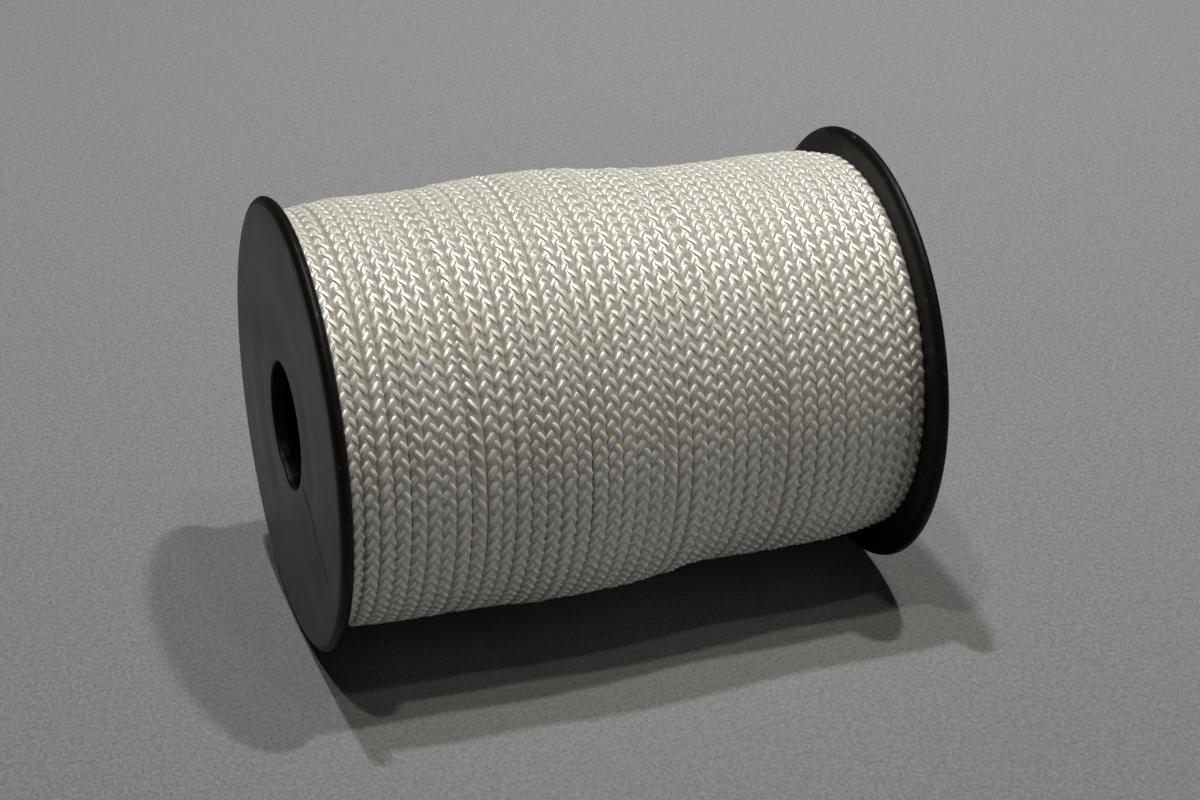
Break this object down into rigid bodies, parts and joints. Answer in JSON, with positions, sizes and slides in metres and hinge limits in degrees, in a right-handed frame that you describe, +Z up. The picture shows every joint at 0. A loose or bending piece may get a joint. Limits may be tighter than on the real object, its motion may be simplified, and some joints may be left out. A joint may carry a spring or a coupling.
{
  "type": "cord reel",
  "caption": "Flanged spool with a through bore, fully wound with braided cord in close turns; it lies on its two round rims.",
  "frame": {"origin": "centre of the through bore, halfway between the two flanges", "axes": "+X along the bore, from the flange whose outer face shows towards the other; +Z up, with the reel lying on its rims"},
  "size_m": [0.1058, 0.078, 0.078],
  "materials": {
    "black_moulding": "satin",
    "barrel_moulding": "satin",
    "white_cord": "shiny braided synthetic yarn"
  },
  "bodies": {
    "root": {"left_flange": "black_moulding", "right_flange": "black_moulding", "barrel": "barrel_moulding", "wound_cord": "white_cord"}
  },
  "joints": []
}
